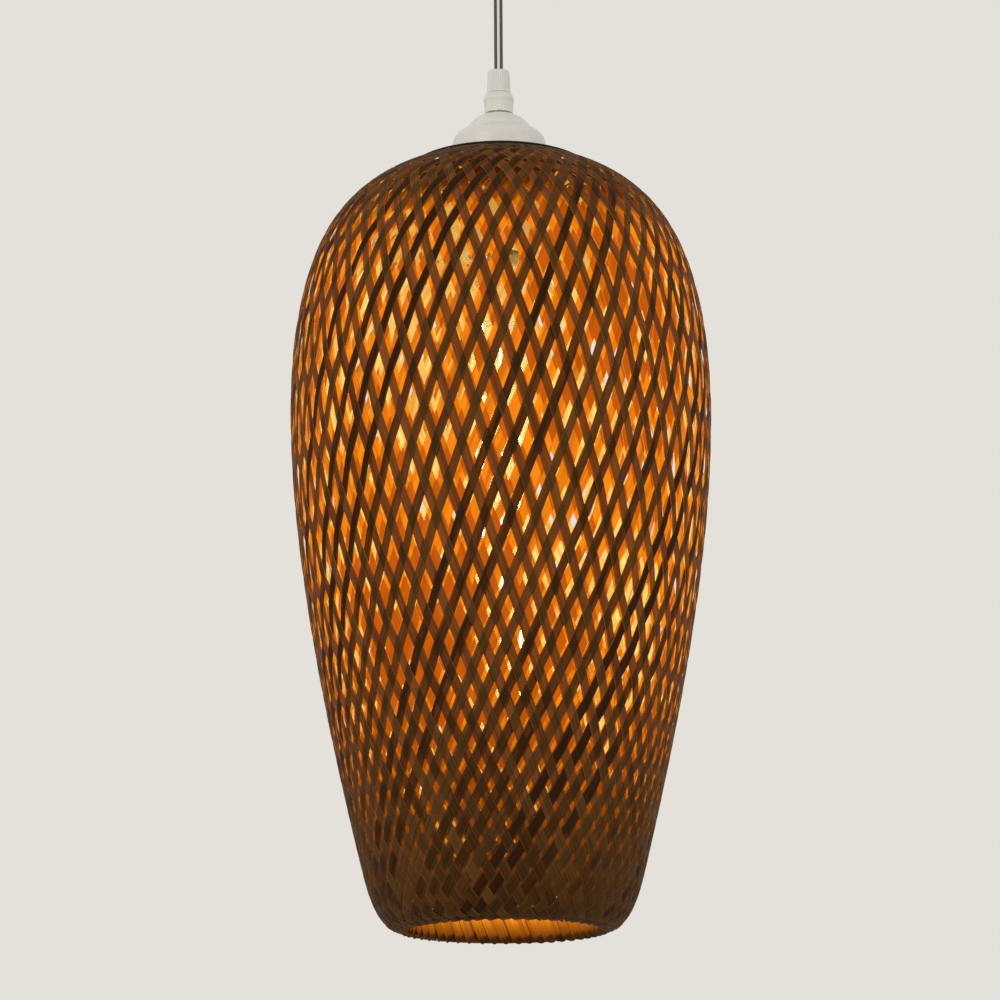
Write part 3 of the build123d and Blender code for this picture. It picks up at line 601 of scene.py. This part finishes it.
# %% Light through a strip
def single_share(tree, read, tone, vary, black_share):
    """1 where the lamp shines through one strip and 0 where two cross: the nearest crossing is further away
    than half the share that the other strip covers. Black strips pass little."""
    near = add(tree, "Math", {0: read["count"]}, operation="FRACT")
    near = add(tree, "Math", {0: near, 1: 0.5}, operation="SUBTRACT")
    near = add(tree, "Math", {0: near}, operation="ABSOLUTE")
    reach = add(tree, "Math", {0: read["cover"], 1: 0.5}, operation="MULTIPLY")
    single = add(tree, "Math", {0: near, 1: reach}, operation="SUBTRACT")
    single = add(tree, "Math", {0: single, 1: 28.0}, operation="MULTIPLY", use_clamp=True)
    clear = add(tree, "Math", {0: tone, 1: 10.0, 2: -10.0 * black_share}, operation="MULTIPLY_ADD",
                use_clamp=True)
    clear = add(tree, "Math", {0: clear, 1: 0.85, 2: 0.15}, operation="MULTIPLY_ADD")
    single = add(tree, "Math", {0: single, 1: clear}, operation="MULTIPLY")
    streaky = add(tree, "Math", {0: vary, 1: 0.9, 2: 0.4}, operation="MULTIPLY_ADD")
    return add(tree, "Math", {0: single, 1: streaky}, operation="MULTIPLY", use_clamp=True)


def glow_level(tree, read, vary):
    """Strength of the glow: the lamp's light, clouded by the grain, with a painted shadow line where one
    folded end laps over the next."""
    # Painted shadow: the glow is darkened along the edge of each folded end that the next one laps over
    lap_shadow = add(tree, "Math", {0: read["side"], 1: 6.0, 2: 6.2}, operation="MULTIPLY_ADD", use_clamp=True)
    unfolded = add(tree, "Math", {0: 1.0, 1: read["folded"]}, operation="SUBTRACT")
    lap_shadow = add(tree, "Math", {0: lap_shadow, 1: unfolded}, operation="MAXIMUM")
    level = add(tree, "Math", {0: read["lamp"], 1: lap_shadow}, operation="MULTIPLY")
    clouded = add(tree, "Math", {0: vary, 1: 0.35, 2: 0.82}, operation="MULTIPLY_ADD")
    return add(tree, "Math", {0: level, 1: clouded}, operation="MULTIPLY")


print("Light recipe is ready")


# %% Bamboo material
def bamboo(name, dark, mid, light, through, doubled, shone, shone_low, black_share=0.0,
           fibre_size=(71.43, 1.0)):
    """Stained bamboo. It glows in the colour through where one strip covers the lamp and doubled where two
    do, and on faces that the bulb shines on in a blend from shone_low to shone. The fibre's size is in mm,
    along and across the strip."""
    material, tree, shader = new_material(name)
    material.cycles.emission_sampling = "NONE"
    read = {key: add(tree, "Attribute", out="Fac", attribute_name=key)
            for key in ("tone", "side", "edge", "count", "cover", "folded", "lit", "lamp")}
    fibre, patch = grain(tree, fibre_size)
    base, tone = stained(tree, read, fibre, patch, dark, mid, light, black_share)
    vary = add(tree, "Math", {0: patch, 1: 2.0, 2: -1.25}, operation="MULTIPLY_ADD")
    vary = add(tree, "Math", {0: fibre, 1: 1.5, 2: vary}, operation="MULTIPLY_ADD", use_clamp=True)

    # Colour of the glow: from behind, or on a face that the bulb shines on
    through, doubled, shone, shone_low = map(linear, (through, doubled, shone, shone_low))
    single = single_share(tree, read, tone, vary, black_share)
    behind = add(tree, "Mix", {0: single, 6: doubled, 7: through}, out=2, data_type="RGBA")
    bright = add(tree, "Math", {0: read["lamp"], 1: 2.0}, operation="POWER")
    bright = add(tree, "Math", {0: vary, 1: bright}, operation="MULTIPLY")
    facing = add(tree, "Mix", {0: bright, 6: shone_low, 7: shone}, out=2, data_type="RGBA")
    lit = add(tree, "Math", {0: read["lit"], 1: 3.0}, operation="POWER")
    glow = add(tree, "Mix", {0: lit, 6: behind, 7: facing}, out=2, data_type="RGBA")

    # Matt, with the fibres 0.3 mm proud, as coarse as they need to be to show
    gloss = add(tree, "Math", {0: fibre, 1: 0.25, 2: 0.45}, operation="MULTIPLY_ADD")
    bump = add(tree, "Bump", {"Height": fibre, "Strength": 0.3, "Distance": 0.0003})
    set_inputs(tree, shader, {"Base Color": base, "Roughness": gloss, "IOR": 1.5, "Specular IOR Level": 0.05,
                              "Emission Color": glow, "Emission Strength": glow_level(tree, read, vary),
                              "Normal": bump})
    return material


print("Bamboo recipe is ready")

# %% Four kinds of bamboo
no_glow = "#000000"
# Outer strips: stained walnut brown, and a quarter of those that lean right nearly black
bark_right = bamboo("stained_bamboo_right", "#341c06", "#40260a", "#5e3f1a", "#461d03",
                    no_glow, "#f9991f", "#cb690a", black_share=0.25)
bark_left = bamboo("stained_bamboo_left", "#2a1706", "#44290c", "#66431c", "#5f2807",
                   no_glow, "#f9991f", "#cb690a", black_share=0.04)
# Liner: thin strips that the light comes through in orange, and that are yellow where the bulb shines on them.
# Their base is kept dark, so that the glow alone gives their colour
liner_bark = bamboo("lit_bamboo_liner", "#140a03", "#1e1206", "#2a190b", "#f8860a",
                    "#c55703", "#ffdf79", "#ffaf3c", fibre_size=(38.46, 1.786))
# Bands and cane: stained bamboo too thick for the light, so it has no glow
band_bark = bamboo("plain_bamboo_band", "#22160a", "#3e2c17", "#5c4226", no_glow, no_glow, no_glow, no_glow)
right_weave.data.materials.append(bark_right)
left_weave.data.materials.append(bark_left)
liner_right.data.materials.append(liner_bark)
liner_left.data.materials.append(liner_bark)
print("Bamboo materials:", [m.name for m in (bark_right, bark_left, liner_bark, band_bark)])


# %% [markdown]
# ## Hoop and bands
#
# The folded ends of the strips wrap a round cane at the mouth, and two flat bands hold the
# other ends at the neck, one under them and one over them. Each is a small section turned
# round the lamp's axis.

# %% Hoop and bands
def circle(radius, middle, count=16):
    """Round section: points at equal turns round a middle (r, z)."""
    turn = np.linspace(0, -2 * np.pi, count, endpoint=False)
    return np.stack([middle[0] + radius * np.cos(turn), middle[1] + radius * np.sin(turn)], axis=1)


def band(lift, width, thickness):
    """Flat section on the neck's last stretch, its middle lifted square to the wall, with rounded edges."""
    end, way = wall[-1], wall_way[-1]
    out = np.array([way[1], -way[0]])
    middle = end - way * width / 2 + out * lift
    across, through = way * (width - 0.5) / 2, out * thickness / 2
    bulge = [(-1.1, 0.0), (-1, -0.8), (0, -1), (1, -0.8), (1.1, 0.0), (1, 0.8), (0, 1), (-1, 0.8)]
    return np.array([middle + across * a + through * b for a, b in bulge]) + (0, shade_foot)


cane_radius, band_width = 1.8, 4.6
rim_cane = turned("rim_cane", circle(cane_radius, (rim_hoop[0], shade_foot + rim_hoop[1])), steps=128)
under_band = turned("crown_under_band", band(-2.2, band_width, 1.8), steps=128, sharp=50)
over_band = turned("crown_over_band", band(0.52, band_width, 0.8), steps=128, sharp=50)
for piece, node in ((rim_cane, "rim_hoop"), (under_band, "crown_hoop"), (over_band, "crown_binding")):
    piece.data.materials.append(band_bark)
    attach(piece, "lamp")
    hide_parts(node)
print("Bands:", [o.name for o in (rim_cane, under_band, over_band)])


# %% [markdown]
# ## Moulded white plastic
#
# The lampholder's cap and the cord grip are moulded in white urea plastic with a satin
# skin: the tool leaves faint waves, and handling leaves a slightly uneven gloss. The grip's
# sleeve and collar carry fine upright ribs for the fingers.

# %% White plastic
cloud_size, wave_size = 16.67, 1.667        # mm, the second drawn coarser than real so that it shows


def moulded(name, code, rough, alpha=1.0):
    """Moulded plastic or glass: one colour with a faint cloud, uneven gloss, and a waved skin."""
    material, tree, shader = new_material(name)
    place = add(tree, "TexCoord", out="Object")
    cloud = add(tree, "TexNoise", {"Vector": place, "Scale": per_metre(cloud_size), "Detail": 2.0})
    skin_wave = add(tree, "TexNoise", {"Vector": place, "Scale": per_metre(wave_size), "Detail": 2.0})
    colour = np.array(linear(code))[:3]
    clouded = add(tree, "Mix", {0: cloud, 6: (*(colour * 0.93), 1), 7: (*np.minimum(colour * 1.03, 1), 1)},
                  out=2, data_type="RGBA")
    gloss = add(tree, "Math", {0: cloud, 1: 0.12, 2: rough - 0.06}, operation="MULTIPLY_ADD")
    bump = add(tree, "Bump", {"Height": skin_wave, "Strength": 0.12, "Distance": 0.0002})
    set_inputs(tree, shader, {"Base Color": clouded, "Roughness": gloss, "IOR": 1.5, "Normal": bump,
                              "Alpha": alpha})
    return material


def arc(first, middle, last, count):
    """Points on the circle through three points, at equal turns from the first to the last."""
    (ax, ay), (bx, by), (cx, cy) = first, middle, last
    d = 2 * (ax * (by - cy) + bx * (cy - ay) + cx * (ay - by))
    a2, b2, c2 = ax * ax + ay * ay, bx * bx + by * by, cx * cx + cy * cy
    centre = np.array([(a2 * (by - cy) + b2 * (cy - ay) + c2 * (ay - by)) / d,
                       (a2 * (cx - bx) + b2 * (ax - cx) + c2 * (bx - ax)) / d])
    turns = np.unwrap([math.atan2(y - centre[1], x - centre[0]) for x, y in (first, middle, last)])
    radius = math.hypot(ax - centre[0], ay - centre[1])
    turn = np.linspace(turns[0], turns[2], count)
    return centre + radius * np.stack([np.cos(turn), np.sin(turn)], axis=1)


# Urea plastic, pressed in a polished tool: a warm white with a satin skin
white_urea = moulded("white_urea_plastic", "#e6e2d8", 0.34)
print("Plastic:", white_urea.name)

# %% Cap, sleeve and collar
cap_top, cap_rim, sleeve_top, collar_top, collar_foot = -111.8, -141.5, -88.0, -100.5, -110.8
cap_outline = np.concatenate([
    arc((7.2, cap_top), (13.1, cap_top - 3.1), (17.3, cap_top - 8.7), 14),
    [(17.55, cap_top - 8.95)],
    arc((17.85, cap_top - 8.85), (22.3, cap_top - 11.3), (23.8, cap_top - 16.2), 16),
    [(23.8, cap_rim + 0.4), (23.5, cap_rim), (21.8, cap_rim), (21.8, cap_top - 16.2),
     (15.4, cap_top - 10.9), (8.2, cap_top - 2.0), (5.0, cap_top - 2.0), (5.0, cap_top)]])
cap = turned("domed_holder_cap", cap_outline, steps=160)

sleeve_outline = [(2.9, sleeve_top), (4.6, sleeve_top), (5.2, sleeve_top - 0.3), (5.5, sleeve_top - 0.9),
                  (5.6, sleeve_top - 1.8), (5.62, sleeve_top - 2.4), (5.8, sleeve_top - 6.0),
                  (6.0, sleeve_top - 10.0), (6.05, sleeve_top - 10.6), (6.2, collar_top + 0.4),
                  (6.0, collar_top + 0.3), (2.9, collar_top + 0.3)]
sleeve_ribs = [0, 0, 0, 0, 0, 1, 1, 1, 0, 0, 0, 0]
sleeve = turned("ribbed_grip_sleeve", sleeve_outline, steps=240, ribs=30, depth=0.35, ribbed=sleeve_ribs,
                sharp=50)

collar_outline = [(4.2, collar_top), (6.6, collar_top), (7.0, collar_top - 0.6), (7.65, collar_top - 2.3),
                  (7.8, collar_top - 2.7), (7.8, collar_top - 3.5), (7.6, collar_top - 3.9),
                  (7.55, collar_top - 4.3), (7.3, collar_foot + 2.0), (7.2, collar_foot + 0.5),
                  (7.0, collar_foot), (5.0, collar_foot), (5.0, collar_foot + 2.0), (4.2, collar_foot + 2.8)]
collar_ribs = [0, 0, 0, 0, 0, 0, 0, 1, 1, 0, 0, 0, 0, 0]
collar = turned("ribbed_grip_collar", collar_outline, steps=320, ribs=40, depth=0.3, ribbed=collar_ribs,
                sharp=50)
for piece, node in ((cap, "holder_cap"), (sleeve, "grip_sleeve"), (collar, "grip_collar")):
    piece.data.materials.append(white_urea)
    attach(piece, "lamp")
    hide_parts(node)
print("White pieces:", [o.name for o in (cap, sleeve, collar)])

# %% [markdown]
# ## Ceiling cup
#
# The photograph ends below the ceiling, so the cup follows what such a lamp has: a shallow
# moulded cup with a rounded edge, held by two cap nuts. It is one more section turned
# round the axis.

# %% Cup
cup_outline = np.concatenate([
    [(48.0, 0.0), (49.6, 0.0), (50.0, -0.4)],
    arc((50.0, -19.0), (47.66, -24.66), (42.0, -27.0), 10),
    [(5.2, -27.0), (5.2, -25.0)],
    arc((42.0, -25.0), (46.24, -23.24), (48.0, -19.0), 8)])
cup = turned("domed_ceiling_cup", cup_outline, steps=128)
cup.data.materials.append(white_urea)
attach(cup, "ceiling")
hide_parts("ceiling_cup")
print("Cup faces:", len(cup.data.polygons))

# %% [markdown]
# ## Cord
#
# A clear jacket over two dark strands, 5 mm across. The lamp's weight pulls it straight.
# Its line is a NURBS curve with a few points, and the strands follow the same line, one on
# each side of it. The jacket is see-through, so that the strands show.

# %% Jacket
cord_route = [(0.0, 0.0, -0.0418), (0.0, 0.0, -0.058), (0.0, 0.0, -0.078), (0.0, 0.0, -0.1005)]
cord_width = 0.005
curve = bpy.data.curves.new("clear_cord_jacket", "CURVE")
curve.dimensions = "3D"
line = curve.splines.new("NURBS")
line.points.add(len(cord_route) - 1)
for point, place in zip(line.points, cord_route):
    point.co = (*place, 1.0)
line.order_u = 3
line.use_endpoint_u = True
line.resolution_u = 12
jacket = bpy.data.objects.new("clear_cord_jacket", curve)
scene.collection.objects.link(jacket)
bare = bpy.data.meshes.new_from_object(jacket)
path = np.empty(3 * len(bare.vertices))
bare.vertices.foreach_get("co", path)
path = path.reshape(-1, 3)
curve.bevel_depth = cord_width / 2
curve.bevel_resolution = 8
curve.use_fill_caps = True
print("Cord line from", path[0].round(4), "to", path[-1].round(4))


# %% Strands
def strand(side, radius=0.00078, offset=0.0014, columns=12):
    """One conductor: circles of that radius along the cord's line, set off to one side of it."""
    turn = np.linspace(0, 2 * np.pi, columns, endpoint=False)
    ring = np.stack([radius * np.cos(turn) + side * offset, radius * np.sin(turn), 0 * turn], axis=1)
    name = "cord_strand_" + ("left" if side < 0 else "right")
    made = skin(name, (path[::-1, None, :] + ring[None])[None])
    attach(made, "cord")
    return made


strands = [strand(side) for side in (-1, 1)]
# Soft clear PVC, extruded: glossy, faintly grey and nearly see-through
clear_jacket = moulded("clear_cord_jacket", "#b9b0a0", 0.18, alpha=0.14)
# Dark PVC insulation, extruded: a soft low gloss
dark_rubber = moulded("dark_wire_insulation", "#1c140e", 0.45)
curve.materials.append(clear_jacket)
for piece in strands:
    piece.data.materials.append(dark_rubber)
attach(jacket, "cord")
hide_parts("power_cord")
print("Strands:", [o.name for o in strands])


# %% [markdown]
# ## Bulb
#
# A long tube of clear glass, 30 mm across, with six glowing rods. The glass is thin and
# clear, so it is made see-through without bending the light, and only its gloss shows. The
# rods give the white points that sparkle through the weave.

# %% Glass
glass_low, cap_foot = -453.95, -182.25
tube_radius, neck_radius, glass_wall = 15.0, 12.3, 0.9


def glass_line(inset, count=14):
    """From the round end up the tube and in to the neck, all inset by the same amount."""
    radius, neck = tube_radius - inset, neck_radius - inset
    turn = np.linspace(-np.pi / 2, 0, count)
    dome = np.stack([radius * np.cos(turn), glass_low + tube_radius + radius * np.sin(turn)], axis=1)
    dome[0, 0] = 0.05
    ease = np.linspace(0, 1, 10)[1:]
    narrower = ease ** 2 * (3 - 2 * ease)
    waist = np.stack([radius + (neck - radius) * narrower, cap_foot - 15 + 15 * ease], axis=1)
    return np.concatenate([dome, waist, [(neck, cap_foot + 14.0)]])


glass = turned("glass_tube", np.concatenate([glass_line(glass_wall), glass_line(0.0)[::-1]]), steps=72)
# Soda-lime glass, blown thin: clear, with only its gloss to be seen
clear_glass = moulded("clear_bulb_glass", "#fff3dd", 0.08, alpha=0.10)
glass.data.materials.append(clear_glass)
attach(glass, "bulb")
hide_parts("bulb_glass")
print("Glass faces:", len(glass.data.polygons))


# %% Bulb cap
def threaded(pitch=3.63, depth=0.55, steps=96, columns=121):
    """Rolled cap: the radius is 13.15 less depth * (1 - cos(2 pi (z / pitch + a / 2 pi))) / 2 times a fade,
    and the inner side follows 0.4 mm further in. The fade, clip(min(top - z, z - foot) / -2, 0, 1), is 0 at
    every height, so the cap is a smooth cylinder."""
    height = np.linspace(-160.6, cap_foot, columns)
    turn = np.linspace(0, 2 * np.pi, steps, endpoint=False)[:, None]
    wave = (1 - np.cos(2 * np.pi * height[None, :] / pitch + turn)) / 2
    fade = np.clip(np.minimum(height[0] - height, height - height[-1]) / -2.0, 0, 1)[None, :]
    radius = 13.15 - depth * wave * fade
    radius = np.concatenate([radius, radius[:, ::-1] - 0.4], axis=1)
    z = np.concatenate([height, height[::-1]])[None, :] + 0 * turn
    grid = np.stack([radius * np.cos(turn), radius * np.sin(turn), z], axis=-1) / 1000
    return skin("threaded_bulb_cap", grid[None], ends="joined")


screw_cap = threaded()
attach(screw_cap, "bulb")
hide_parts("bulb_cap_shell")
print("Cap faces:", len(screw_cap.data.polygons))


# %% [markdown]
# ## Metals and glowing rods
#
# The pieces that keep their CAD shape get a finish each. A metal's colour is its own, its
# gloss is uneven where it was drawn or rolled, and zinc plating clouds it in patches. The
# bulb's rods shine by themselves.

# %% Metal and glow
line_size = 1.111       # mm between drawing lines, coarser than real so that they show


def metal(name, code, rough, squeeze=(1.0, 1.0, 1.0)):
    """Bare or plated metal: its lines are a noise that is squeezed along one axis."""
    material, tree, shader = new_material(name)
    place = add(tree, "TexCoord", out="Object")
    drawn = add(tree, "Mapping", {"Vector": place, "Scale": squeeze})
    lines = add(tree, "TexNoise", {"Vector": drawn, "Scale": per_metre(line_size), "Detail": 3.0})
    gloss = add(tree, "Math", {0: lines, 1: 0.25, 2: rough - 0.12}, operation="MULTIPLY_ADD")
    bump = add(tree, "Bump", {"Height": lines, "Strength": 0.08, "Distance": 0.0001})
    set_inputs(tree, shader, {"Base Color": linear(code), "Metallic": 1.0, "Roughness": gloss,
                              "Normal": bump})
    return material


def glowing(name, code, strength):
    """Hot rod: light of its own, a little brighter in its middle than at its edges."""
    material, tree, shader = new_material(name)
    facing = add(tree, "LayerWeight", {"Blend": 0.4}, out="Facing")
    power = add(tree, "Math", {0: facing, 1: -0.4 * strength, 2: strength}, operation="MULTIPLY_ADD")
    set_inputs(tree, shader, {"Base Color": linear(code), "Emission Color": linear(code),
                              "Emission Strength": power, "Roughness": 0.6})
    return material


# Brass strip, rolled to a thread and nickel plated: bright, with lines round the cap
rolled_nickel = metal("rolled_nickel_cap", "#c9c6bd", 0.3, (1.0, 1.0, 8.0))
screw_cap.data.materials.append(rolled_nickel)
print("Cap metal:", rolled_nickel.name)

# %% Finishes of the CAD pieces
finishes = {
    "white_plastic": white_urea,
    # Steel strip, stamped and zinc plated: a cool grey that clouds
    "zinc_steel": metal("zinc_plated_steel", "#b9bab8", 0.36, (1.0, 6.0, 1.0)),
    # Nylon, moulded without pigment: milky, half matt
    "clear_nylon": moulded("natural_nylon", "#dcd8cb", 0.4),
    # The cord's jacket where it runs hidden: the same PVC, seen as a grey skin
    "cord_jacket": moulded("grey_cord_jacket", "#9c9284", 0.3),
    "wire_insulation": dark_rubber,
    # Melamine, pressed: a dull cream that stands the bulb's heat
    "carrier_plastic": moulded("carrier_melamine", "#cfcabb", 0.42),
    # Brass, drawn or turned: yellow, with fine lines
    "brass": metal("drawn_brass", "#d2a954", 0.28, (1.0, 1.0, 6.0)),
    # Steel plate, powder coated: off-white with a soft gloss
    "plate_paint": moulded("painted_steel_plate", "#d8d4c8", 0.45),
    "bulb_glass": clear_glass,
    "cap_metal": rolled_nickel,
    # Black glass, poured into the cap: dark and very glossy
    "black_glass": moulded("black_vitrite_glass", "#14141a", 0.12),
    # Tin solder, set from a drop: grey and slightly dull
    "solder": metal("soft_solder", "#b4b4b0", 0.42),
    # Coated rods at working heat: warm white light
    "filament": glowing("glowing_filament_rods", "#ffe2b0", 14.0),
    "bamboo_band": band_bark, "bamboo_right": bark_right, "bamboo_left": bark_left,
    "bamboo_liner": liner_bark,
}
slots = {row["node"]: row["material_slot"] for row in frame["record"]["subparts"]}
for node, obj in frame["nodes"].items():
    finish = finishes[slots[node]]
    if not obj.data.materials:
        obj.data.materials.append(finish)
    for place in obj.material_slots:
        place.material = finish
print("Finished", len(slots), "CAD nodes in", len(finishes), "finishes")
